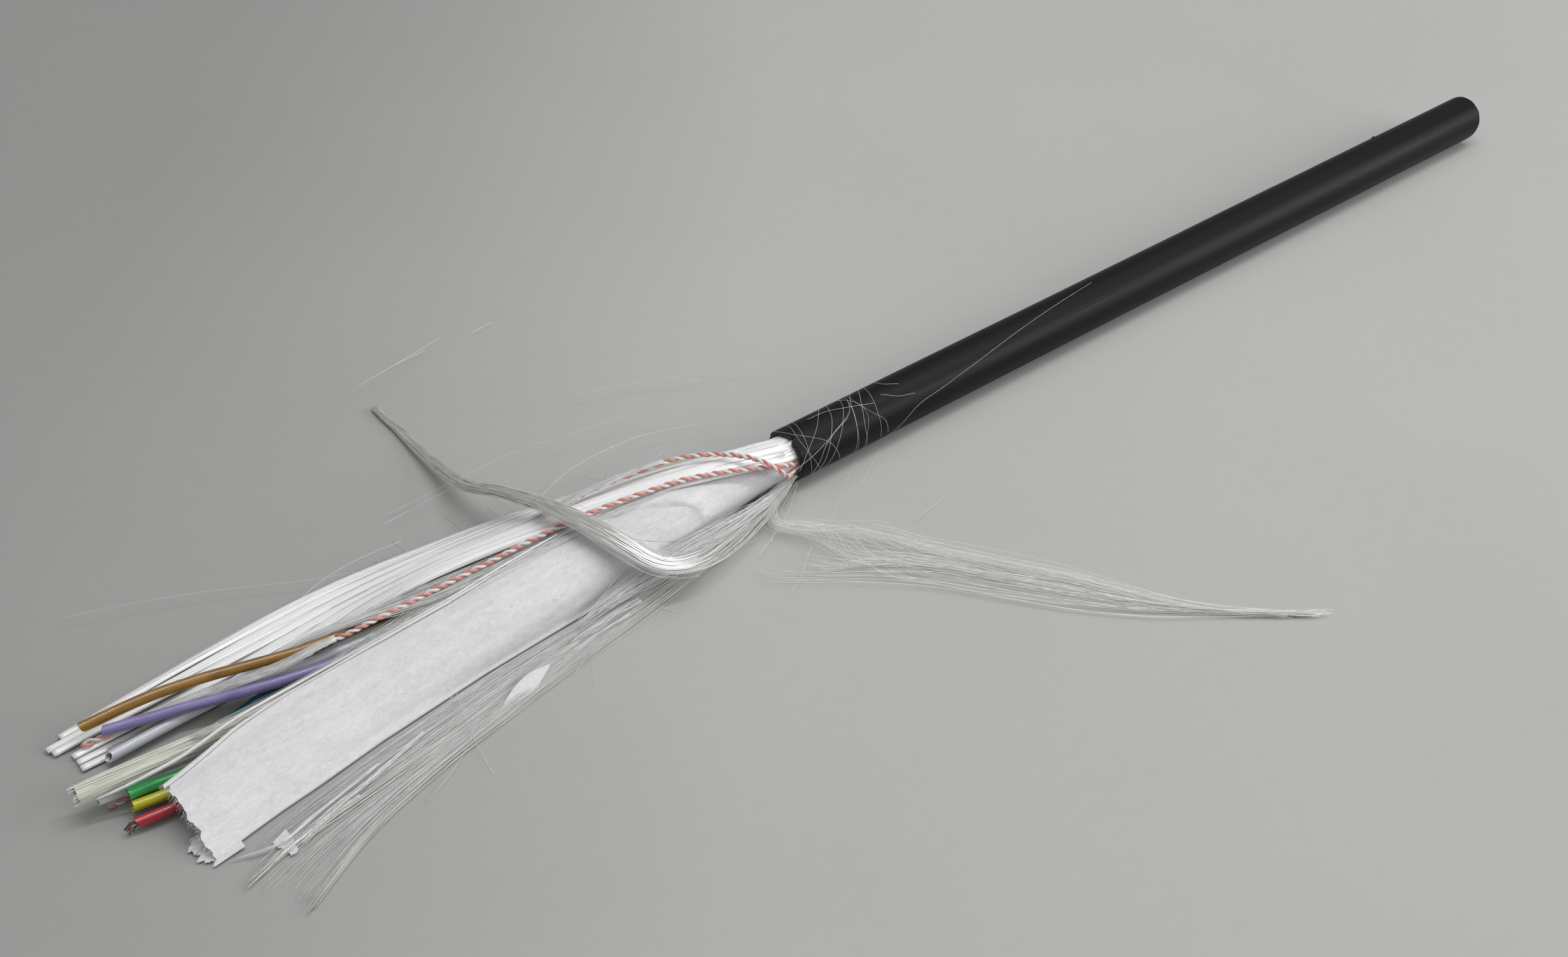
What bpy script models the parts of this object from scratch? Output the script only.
"""Loose tube fibre cable, one end stripped back, lying on a level floor.

Frame: metres, +Z up.  The origin is on the floor under the middle of the
jacketed length, on the jacket's underside.  +X runs along the cable to the
end that is cut off whole; the stripped and splayed end points to -X.

All lengths below are in millimetres and are scaled once, when a mesh or a
curve is made.  Routes are written from the jacket's mouth: x = 0 is the cut
edge of the jacket, x < 0 is the stripped length.
"""
import math

import bmesh
import bpy
import numpy as np

MM = 0.001

# ------------------------------------------------------------ driving sizes
JACKET_OD = 13.6          # outer diameter of the sheath
JACKET_WALL = 1.3         # sheath wall
JACKET_LENGTH = 272.0     # mouth to the cut-off end
JACKET_SIDES = 24         # a flat facet of the sheath faces the floor
TAIL_CUT_DEG = 9.0        # the tail was cut a little out of square
MEMBER_OD = 3.8           # central strength member
TUBE_OD = 2.4             # loose tube
TUBE_WALL = 0.4
TUBE_RING = 3.25          # radius of the circle of eight tubes
FIBRE_BUNDLE_OD = 1.0     # fibres of one tube, taken together
TAPE_THICKNESS = 0.16     # non-woven core wrap
TAPE_RING = 4.70          # mid-surface radius of the wrap inside the sheath
TAPE_SEAM_DEG = 20.0      # open seam of the wrap inside the sheath
RIPCORD_OD = 1.1
YARN_RING = 5.15          # radius of the yarn layer under the sheath
YARN_SQUEEZED_R = 0.22    # a yarn is pressed thin under the sheath

JACKET_R = JACKET_OD / 2
AXIS_Z = JACKET_R * math.cos(math.pi / JACKET_SIDES)
MOUTH_X = -JACKET_LENGTH / 2      # the mouth, seen from the origin
CORE_END = JACKET_LENGTH - 3.6    # the core ends just inside the tail's edge
INSIDE = 5.0                      # the core runs straight up to here
TUBE_POINTS = 18


# ------------------------------------------------------------------ helpers
def clear_scene():
    for ob in list(bpy.data.objects):
        bpy.data.objects.remove(ob, do_unlink=True)


def collection(name):
    col = bpy.data.collections.new(name)
    bpy.context.scene.collection.children.link(col)
    return col


def material(name, rgb, roughness, metallic=0.0):
    mat = bpy.data.materials.new(name)
    mat.use_nodes = True
    bsdf = mat.node_tree.nodes["Principled BSDF"]
    bsdf.inputs["Base Color"].default_value = (*rgb, 1.0)
    bsdf.inputs["Roughness"].default_value = roughness
    bsdf.inputs["Metallic"].default_value = metallic
    return mat


def world(p):
    """Millimetres from the mouth -> metres from the origin."""
    return ((p[0] + MOUTH_X) * MM, p[1] * MM, p[2] * MM)


def on_ring(radius, degrees):
    """y, z of a place in the cable's section; 0 deg is +Y, 90 deg is up."""
    a = math.radians(degrees)
    return radius * math.cos(a), AXIS_Z + radius * math.sin(a)


def smooth(points, per_span=24):
    """Centripetal Catmull-Rom curve through the points, finely sampled."""
    p = [np.array(q, float) for q in points]
    p = [2 * p[0] - p[1]] + p + [2 * p[-1] - p[-2]]
    out = []
    for i in range(1, len(p) - 2):
        a, b, c, d = p[i - 1:i + 3]
        t = [0.0]
        for u, v in ((a, b), (b, c), (c, d)):
            t.append(t[-1] + max(np.linalg.norm(v - u), 1e-6) ** 0.5)
        for k in range(per_span):
            s = t[1] + (t[2] - t[1]) * k / per_span
            a1 = a + (b - a) * (s - t[0]) / (t[1] - t[0])
            a2 = b + (c - b) * (s - t[1]) / (t[2] - t[1])
            a3 = c + (d - c) * (s - t[2]) / (t[3] - t[2])
            b1 = a1 + (a2 - a1) * (s - t[0]) / (t[2] - t[0])
            b2 = a2 + (a3 - a2) * (s - t[1]) / (t[3] - t[1])
            out.append(b1 + (b2 - b1) * (s - t[1]) / (t[2] - t[1]))
    out.append(p[-2])
    return np.array(out)


def resample(points, count):
    """The same line with points at even steps of its length."""
    seg = np.linalg.norm(np.diff(points, axis=0), axis=1)
    at = np.concatenate([[0.0], np.cumsum(seg)])
    want = np.linspace(0.0, at[-1], count)
    return np.array([np.interp(want, at, points[:, k]) for k in range(3)]).T


def route(ring_radius, degrees, free, count, start=CORE_END, straight_to=0.0):
    """Straight through the sheath at one place of its section, then smooth
    through the free points to the splayed end."""
    y, z = on_ring(ring_radius, degrees)
    lead = [(INSIDE, y, z), (straight_to, y, z)]
    curve = smooth(lead + list(free))[24:]
    return np.vstack([[(start, y, z), lead[0]], resample(curve, count)])


def curve_object(name, line, depth, col, resolution=2, radii=None, caps=True):
    data = bpy.data.curves.new(name, "CURVE")
    data.dimensions = "3D"
    data.bevel_depth = depth * MM
    data.bevel_resolution = resolution
    data.use_fill_caps = caps
    data.render_resolution_u = 0
    spline = data.splines.new("POLY")
    spline.points.add(len(line) - 1)
    for i, p in enumerate(line):
        spline.points[i].co = (*world(p), 1.0)
        spline.points[i].radius = 1.0 if radii is None else float(radii[i])
    ob = bpy.data.objects.new(name, data)
    col.objects.link(ob)
    return ob


def to_mesh(ob, col):
    """The curve's evaluated surface as a mesh object of the same name."""
    bpy.context.view_layer.update()
    deps = bpy.context.evaluated_depsgraph_get()
    mesh = bpy.data.meshes.new_from_object(ob.evaluated_get(deps))
    name, place = ob.name, ob.matrix_world.copy()
    bpy.data.objects.remove(ob, do_unlink=True)
    bm = bmesh.new()
    bm.from_mesh(mesh)
    bmesh.ops.remove_doubles(bm, verts=bm.verts, dist=1e-6)
    bmesh.ops.recalc_face_normals(bm, faces=bm.faces)
    bm.to_mesh(mesh)
    bm.free()
    new = bpy.data.objects.new(name, mesh)
    new.matrix_world = place
    col.objects.link(new)
    mesh.shade_smooth()
    return new


def finish(ob, mat):
    ob.data.materials.clear()
    ob.data.materials.append(mat)
    return ob


# ------------------------------------------------------------------- pieces
def make_jacket(parts, cutters):
    """The sheath: a turned pipe whose tail is cut slightly out of square."""
    r_out, r_in = JACKET_R * MM, (JACKET_R - JACKET_WALL) * MM
    x0, x1 = MOUTH_X * MM, (MOUTH_X + JACKET_LENGTH + 4.0) * MM
    bm = bmesh.new()
    # the profile stands half a facet off straight down, so that the facet
    # between it and the next step is level
    a = math.radians(-90.0) + math.pi / JACKET_SIDES
    corners = []
    for x, r in ((x0, r_in), (x0, r_out), (x1, r_out), (x1, r_in)):
        corners.append(bm.verts.new((x, r * math.cos(a), r * math.sin(a))))
    for i in range(4):
        bm.edges.new((corners[i], corners[(i + 1) % 4]))
    mesh = bpy.data.meshes.new("outer_jacket")
    bm.to_mesh(mesh)
    bm.free()
    ob = bpy.data.objects.new("outer_jacket", mesh)
    ob.location = (0.0, 0.0, AXIS_Z * MM)
    parts.objects.link(ob)
    screw = ob.modifiers.new("turn", "SCREW")
    screw.axis = "X"
    screw.steps = JACKET_SIDES
    screw.render_steps = JACKET_SIDES
    screw.use_merge_vertices = True
    screw.merge_threshold = 0.00001
    screw.use_normal_calculate = True
    # tail cut
    bpy.ops.mesh.primitive_cube_add(size=1.0)
    cutter = bpy.context.object
    cutter.name = "tail_cut"
    for c in list(cutter.users_collection):
        c.objects.unlink(cutter)
    cutters.objects.link(cutter)
    cutter.scale = (0.02, 0.04, 0.04)
    tilt = math.radians(TAIL_CUT_DEG)
    cutter.rotation_euler = (0.0, tilt, 0.0)
    mid = (MOUTH_X + JACKET_LENGTH - JACKET_R * math.tan(tilt)) * MM
    cutter.location = (mid + 0.01 * math.cos(tilt), 0.0,
                       AXIS_Z * MM - 0.01 * math.sin(tilt))
    cutter.hide_render = True
    cutter.display_type = "WIRE"
    cut = ob.modifiers.new("tail", "BOOLEAN")
    cut.operation = "DIFFERENCE"
    cut.solver = "EXACT"
    cut.object = cutter
    return ob


# Free routes: y grows away from the +X-looking right hand, z is the height.
MEMBER_FREE = [(-60, 0.0, 6.80), (-100, -0.6, 6.85), (-120, -0.3, 6.90),
               (-140, 0.9, 6.95), (-176.6, 3.8, 7.00)]

TUBES = {
    # name: (place in the ring, free route)
    "violet": (67.5, [(-12, 1.3, 9.75), (-30, 1.8, 9.8), (-60, 2.8, 9.6),
                      (-90, 2.7, 8.9), (-110, 3.4, 7.9), (-123, 5.6, 6.9),
                      (-136, 9.3, 6.2), (-147, 13.2, 5.6), (-158, 16.5, 5.3),
                      (-165.8, 18.6, 5.2)]),
    "brown": (22.5, [(-12, 3.1, 8.0), (-30, 3.9, 8.0), (-60, 7.2, 7.8),
                     (-90, 10.3, 7.0), (-108, 12.0, 6.4), (-121.5, 13.2, 6.2),
                     (-132.6, 15.9, 6.3), (-144.2, 19.2, 6.2),
                     (-156, 21.3, 6.0), (-168.8, 22.2, 5.4)]),
    "grey": (-22.5, [(-12, 3.1, 5.45), (-30, 3.8, 5.5), (-60, 5.4, 5.7),
                     (-90, 6.6, 5.9), (-110, 7.9, 5.8), (-124, 9.8, 5.3),
                     (-138, 13.0, 4.3), (-147.4, 14.2, 3.1),
                     (-155, 14.3, 2.6), (-167.2, 13.6, 2.5)]),
    "blue": (-67.5, [(-12, 1.3, 3.7), (-30, 2.4, 3.2), (-60, 5.0, 2.6),
                     (-85, 7.3, 2.7), (-101, 9.3, 2.9), (-112, 10.3, 2.9),
                     (-124, 10.2, 2.8), (-134, 9.6, 2.4),
                     (-143.9, 9.4, 1.9)]),
    "white": (-112.5, [(-12, -1.2, 3.6), (-30, -1.0, 3.35), (-60, -0.8, 3.2),
                       (-110, 0.2, 3.0), (-150, 1.0, 2.9),
                       (-161, 1.8, 3.0), (-173.4, 3.7, 3.0)]),
    "yellow": (-157.5, [(-12, -3.1, 5.3), (-30, -3.4, 4.6), (-60, -4.2, 3.4),
                        (-110, -4.9, 2.6), (-145, -4.6, 2.8),
                        (-162, -3.3, 3.0), (-168.5, -2.2, 3.0)]),
    "green": (157.5, [(-12, -3.1, 7.75), (-30, -3.4, 7.1), (-60, -3.4, 6.1),
                      (-90, -3.7, 5.5), (-110, -3.9, 5.3), (-145, -3.4, 5.2),
                      (-158.5, -2.0, 4.9), (-168, 0.2, 4.7)]),
    "red": (112.5, [(-12, -1.5, 9.75), (-30, -3.1, 9.6), (-45, -4.7, 8.8),
                    (-60, -5.6, 7.8), (-90, -7.0, 5.8), (-115, -7.8, 4.2),
                    (-145, -7.6, 2.6), (-162, -6.8, 2.2), (-169, -6.0, 2.2)]),
}
TUBE_RGB = {"violet": (0.25, 0.22, 0.42), "brown": (0.36, 0.17, 0.03),
            "grey": (0.40, 0.42, 0.48), "blue": (0.02, 0.15, 0.25),
            "white": (0.62, 0.64, 0.66), "yellow": (0.45, 0.38, 0.02),
            "green": (0.02, 0.26, 0.06), "red": (0.40, 0.01, 0.03)}

RIPCORDS = {
    # both lie outside the wrap: A runs along the crest of the core, B crosses
    # over the crest and goes down among the yarns to the floor
    "ripcord_a": (165.0, [(-4.0, -6.1, 10.2), (-10.8, -5.7, 12.6),
                          (-18.1, -3.3, 13.8), (-29.2, 0.9, 14.1),
                          (-41.3, 3.4, 13.9), (-53.9, 5.8, 13.1),
                          (-67.0, 6.8, 12.4), (-80.3, 7.2, 11.6),
                          (-93.1, 7.7, 10.8), (-105.7, 8.4, 9.8),
                          (-113.0, 8.9, 9.1), (-118.7, 10.2, 7.9),
                          (-122.5, 11.7, 5.7), (-126.0, 12.9, 3.9),
                          (-131.0, 15.2, 2.5), (-140, 17.8, 2.05),
                          (-155, 19.6, 2.05), (-170.4, 20.6, 2.05)]),
    "ripcord_b": (182.0, [(-3.6, -6.6, 6.9), (-6.2, -8.2, 9.4),
                          (-9.0, -8.1, 13.0), (-12.4, -4.6, 15.3),
                          (-17.8, 1.6, 15.5), (-26.0, 7.5, 14.6),
                          (-36.4, 10.6, 13.4), (-46.0, 12.9, 12.3),
                          (-54.0, 14.7, 10.2), (-62.0, 15.0, 6.8),
                          (-71.0, 14.4, 3.6), (-84.0, 13.8, 1.3),
                          (-95, 10.6, 0.9), (-108, 5.8, 0.75),
                          (-125, 3.2, 0.75), (-145, 2.4, 0.75),
                          (-160, 2.4, 0.75), (-172, 2.6, 0.8)]),
}

YARNS = {
    # place in the section, radius of the strand when it is free, free route
    "glass_yarn_1": (0.0, 0.60, [(-8, 6.0, 7.6), (-20, 9.0, 8.0),
                                 (-40, 16.0, 6.6), (-62, 24.0, 3.9),
                                 (-85, 29.6, 1.6), (-112, 32.4, 0.8),
                                 (-140, 30.6, 0.8), (-173, 26.8, 0.8)]),
    "glass_yarn_2": (28.0, 0.60, [(-8, 5.4, 9.9), (-20, 7.6, 10.4),
                                  (-40, 13.6, 8.8), (-62, 21.0, 5.9),
                                  (-85, 26.6, 2.8), (-112, 29.6, 0.9),
                                  (-140, 27.9, 0.8), (-176.5, 24.9, 0.8)]),
    "glass_yarn_3": (56.0, 0.60, [(-8, 3.6, 11.6), (-20, 5.8, 12.0),
                                  (-40, 11.6, 10.4), (-62, 18.2, 7.6),
                                  (-85, 23.6, 4.2), (-112, 26.8, 1.2),
                                  (-140, 25.4, 0.8), (-175.8, 23.3, 0.8)]),
    "glass_yarn_4": (84.0, 0.60, [(-8, 1.0, 12.3), (-20, 3.3, 12.9),
                                  (-40, 9.0, 11.6), (-54, 12.2, 10.3),
                                  (-66, 15.4, 9.2), (-85, 20.4, 6.0),
                                  (-108, 24.0, 1.9), (-124, 23.6, 0.85),
                                  (-146, 21.6, 0.75), (-172.8, 20.0, 0.75)]),
    "glass_yarn_5": (112.0, 0.55, [(-8, -1.6, 12.4), (-20, 1.2, 13.3),
                                   (-40, 7.0, 12.3), (-54, 9.8, 11.6),
                                   (-68, 13.2, 10.2), (-86, 17.4, 7.4),
                                   (-106, 21.2, 3.0), (-122, 20.9, 0.9),
                                   (-146, 18.6, 0.7), (-172.6, 17.9, 0.7)]),
    "glass_yarn_6": (136.0, 0.55, [(-8, -3.9, 11.9), (-18, -1.6, 12.9),
                                   (-38, 4.6, 12.4), (-58, 8.4, 11.6),
                                   (-74, 11.4, 10.9), (-90, 14.6, 8.8),
                                   (-106, 17.8, 4.4), (-119, 18.2, 1.2),
                                   (-132, 17.2, 0.75), (-148, 15.9, 0.7),
                                   (-172.6, 15.9, 0.7)]),
    "yarn_left_wisp": (208.0, 0.70, [(-7, -6.5, 3.9), (-15, -9.0, 3.6),
                                     (-28, -13.4, 4.0), (-39, -16.4, 6.5),
                                     (-47.5, -15.6, 9.9), (-52.5, -9.2, 13.4),
                                     (-56.0, -2.0, 15.6), (-59.5, 7.0, 16.2),
                                     (-62.0, 16.0, 15.0), (-65.2, 27.2, 12.0),
                                     (-67.6, 36.6, 8.2), (-67.8, 48.6, 4.6),
                                     (-67.0, 62.6, 1.8), (-66.8, 76.0, 0.9),
                                     (-67.4, 87.0, 0.85)]),
    "yarn_right_wisp": (232.0, 0.80, [(-7, -5.2, 1.9), (-13, -9.9, 1.9),
                                      (-18, -14.4, 1.5), (-20.4, -19.6, 0.9),
                                      (-18.0, -25.6, 0.9), (-10.0, -33.0, 0.9),
                                      (2.0, -41.4, 0.9), (16.0, -52.6, 0.9),
                                      (30.0, -69.0, 0.9), (42.0, -86.0, 0.9),
                                      (55.0, -101.0, 0.9),
                                      (70.0, -114.4, 0.9)]),
    "yarn_lower_1": (284.0, 0.55, [(-8, -2.0, 0.85), (-16, -6.2, 0.75),
                                   (-25, -9.4, 0.7), (-40, -11.6, 0.7),
                                   (-57, -14.0, 0.7),
                                   (-80, -18.0, 0.7), (-105, -22.6, 0.7),
                                   (-131.7, -27.0, 0.7),
                                   (-149.3, -29.6, 0.7),
                                   (-159.9, -32.8, 0.7)]),
    "yarn_lower_2": (258.0, 0.55, [(-8, -4.0, 0.9), (-15, -8.2, 0.8),
                                   (-26, -12.4, 0.7), (-40, -15.2, 0.7),
                                   (-54, -17.8, 0.7),
                                   (-74, -21.2, 0.7), (-95.2, -25.4, 0.7),
                                   (-114, -29.4, 0.7), (-133.1, -35.4, 0.7),
                                   (-152.5, -45.6, 0.7)]),
}

# The wrap outside the sheath: at each x, points across it from the edge on
# the core's crest, down its near side, to the fold on the floor.
TAPE_STATIONS = [
    (-50, [(5.2, 11.5), (1.0, 12.1), (-4.2, 11.0), (-8.2, 7.0), (-9.0, 1.2)]),
    (-75, [(3.6, 11.3), (-0.4, 11.5), (-5.6, 10.0), (-9.6, 6.0), (-10.6, 1.1)]),
    (-93, [(2.1, 10.6), (-2.0, 10.5), (-7.0, 8.8), (-10.8, 5.2), (-12.0, 1.1)]),
    (-120, [(1.1, 9.7), (-3.0, 9.2), (-8.2, 7.5), (-12.8, 4.5), (-15.4, 1.1)]),
    (-143, [(-0.3, 9.1), (-5.0, 8.5), (-10.6, 6.9), (-15.6, 4.2), (-19.4, 1.1)]),
    (-158, [(-3.6, 8.4), (-8.4, 7.9), (-13.6, 6.4), (-18.6, 3.9), (-22.8, 1.1)]),
]
TAPE_COLS = 21
TAPE_FOLD_R = 0.36
TAPE_UNDER = 5.6


def tape_band(x):
    """Section of the opened wrap at x: crest edge, near side, fold, and the
    strip that is turned under."""
    xs = np.array([s[0] for s in TAPE_STATIONS], float)[::-1]
    pts = []
    for k in range(5):
        ys = np.array([s[1][k][0] for s in TAPE_STATIONS])[::-1]
        zs = np.array([s[1][k][1] for s in TAPE_STATIONS])[::-1]
        pts.append((0.0, float(np.interp(x, xs, ys)),
                    float(np.interp(x, xs, zs))))
    line = [tuple(p[1:]) for p in smooth(pts, 8)]
    yl, zl = line[-1]
    line = line[:-1]
    for a in (20, 60, 100, 140, 180):
        t = math.radians(a)
        line.append((yl - TAPE_FOLD_R * math.sin(t),
                     zl - TAPE_FOLD_R * (1.0 - math.cos(t))))
    line.append((yl + TAPE_UNDER * 0.5, zl - 2 * TAPE_FOLD_R))
    line.append((yl + TAPE_UNDER, zl - 2 * TAPE_FOLD_R))
    return np.array([(0.0, p[0], p[1]) for p in line])


def tape_arc():
    half = TAPE_SEAM_DEG / 2
    out = []
    for j in range(TAPE_COLS):
        d = -20.0 + half + (360.0 - TAPE_SEAM_DEG) * j / (TAPE_COLS - 1)
        y, z = on_ring(TAPE_RING, d)
        out.append((0.0, y, z))
    return np.array(out)


def tape_columns(section):
    """Columns: most across the visible band, the rest in fold and strip."""
    seg = np.linalg.norm(np.diff(section, axis=0), axis=1)
    at = np.concatenate([[0.0], np.cumsum(seg)])
    want = np.linspace(0.0, at[-1], TAPE_COLS)
    return np.array([np.interp(want, at, section[:, k]) for k in range(3)]).T


def make_tape(parts):
    """The core wrap: rolled round the core inside the sheath, opened out to
    a broad band with one edge turned under where the sheath is gone."""
    rows = []
    arc = tape_arc()
    for x in (CORE_END, 4.0, 0.0):
        rows.append([(x, p[1], p[2]) for p in arc])
    for x in (-6, -13, -21, -30, -40, -50, -62, -75, -90, -105, -120, -132,
              -144, -156):
        w = min(1.0, max(0.0, -x / 46.0))
        w = w * w * (3 - 2 * w)
        lift = 1.0 - (1.0 - w) ** 2.2     # it lifts before it spreads
        band = tape_columns(tape_band(min(x, -50.0)))
        row = []
        for j in range(TAPE_COLS):
            skew = 0.0
            if x <= -144:
                skew = -3.0 * j / (TAPE_COLS - 1) * (-x - 132) / 24.0
            row.append((x + skew, (1 - w) * arc[j][1] + w * band[j][1],
                        (1 - lift) * arc[j][2] + lift * band[j][2]))
        rows.append(row)
    bm = bmesh.new()
    grid = [[bm.verts.new(world(p)) for p in row] for row in rows]
    for i in range(len(grid) - 1):
        for j in range(TAPE_COLS - 1):
            bm.faces.new((grid[i][j], grid[i + 1][j],
                          grid[i + 1][j + 1], grid[i][j + 1]))
    mesh = bpy.data.meshes.new("core_tape")
    bm.to_mesh(mesh)
    bm.free()
    mesh.shade_smooth()
    ob = bpy.data.objects.new("core_tape", mesh)
    parts.objects.link(ob)
    solid = ob.modifiers.new("thickness", "SOLIDIFY")
    solid.thickness = TAPE_THICKNESS * MM
    solid.offset = 0.0
    solid.use_even_offset = True
    return ob


def make_tube(name, degrees, free, mat, parts):
    """A loose tube: an open swept surface, thickened inwards."""
    line = route(TUBE_RING, degrees, free, TUBE_POINTS)
    ob = curve_object(name, line, TUBE_OD / 2, parts, 2, caps=False)
    ob = to_mesh(ob, parts)
    wall = ob.modifiers.new("wall", "SOLIDIFY")
    wall.thickness = TUBE_WALL * MM
    wall.offset = -1.0
    wall.use_even_offset = True
    return finish(ob, mat)


def make_fibres(name, degrees, free, mat, parts, reach):
    """The fibres of one tube, as one soft bundle in its bore."""
    line = route(TUBE_RING, degrees, free, TUBE_POINTS, start=CORE_END - 0.4)
    last = line[-1] - line[-2]
    last = last / np.linalg.norm(last)
    line[-1] = line[-1] + last * reach[0]
    if len(reach) > 1:
        line = np.vstack([line, line[-1] + np.array(reach[1:])])
    ob = curve_object(name, line, FIBRE_BUNDLE_OD / 2, parts, 1)
    return finish(ob, mat)


def main():
    clear_scene()
    parts = collection("loose_tube_fibre_cable")
    cutters = collection("cutters")

    black = material("black_polyethylene", (0.02, 0.02, 0.023), 0.42)
    cream = material("cream_glass_rod", (0.62, 0.63, 0.55), 0.45)
    wrap = material("white_nonwoven", (0.66, 0.67, 0.70), 0.85)
    glass = material("white_glass_yarn", (0.78, 0.79, 0.79), 0.35)
    cord = material("ripcord_red_white", (0.66, 0.24, 0.18), 0.7)
    fibre = material("coated_fibre", (0.07, 0.06, 0.06), 0.4)

    finish(make_jacket(parts, cutters), black)
    finish(make_tape(parts), wrap)

    line = route(0.0, 0.0, MEMBER_FREE, 7, start=CORE_END)
    member = curve_object("strength_member", line, MEMBER_OD / 2, parts, 4)
    finish(member, cream)

    for colour, (degrees, free) in TUBES.items():
        mat = material("tube_" + colour, TUBE_RGB[colour], 0.35)
        make_tube("tube_" + colour, degrees, free, mat, parts)
        # the fibres end just inside the tube; in the red one they stick out
        reach = (2.2, -1.6, -0.9, -0.9) if colour == "red" else (-0.5,)
        make_fibres("fibres_" + colour, degrees, free, fibre, parts, reach)

    for name, (degrees, free) in RIPCORDS.items():
        line = route(YARN_RING, degrees, free, 28, straight_to=-1.0)
        full = RIPCORD_OD / 2
        radii = [min(1.0, 0.25 / full + max(0.0, -1.0 - p[0]) / 6.0)
                 for p in line]
        finish(curve_object(name, line, full, parts, 2, radii), cord)

    for name, (degrees, r_free, free) in YARNS.items():
        line = route(YARN_RING, degrees, free, 20, straight_to=-2.0)
        low = YARN_SQUEEZED_R / r_free
        radii = []
        for p in line:
            far = 99.0 if p[1] < -9.0 else max(0.0, -2.0 - p[0])
            radii.append(min(1.0, low + far / 12.0))
        finish(curve_object(name, line, r_free, parts, 1, radii), glass)


main()
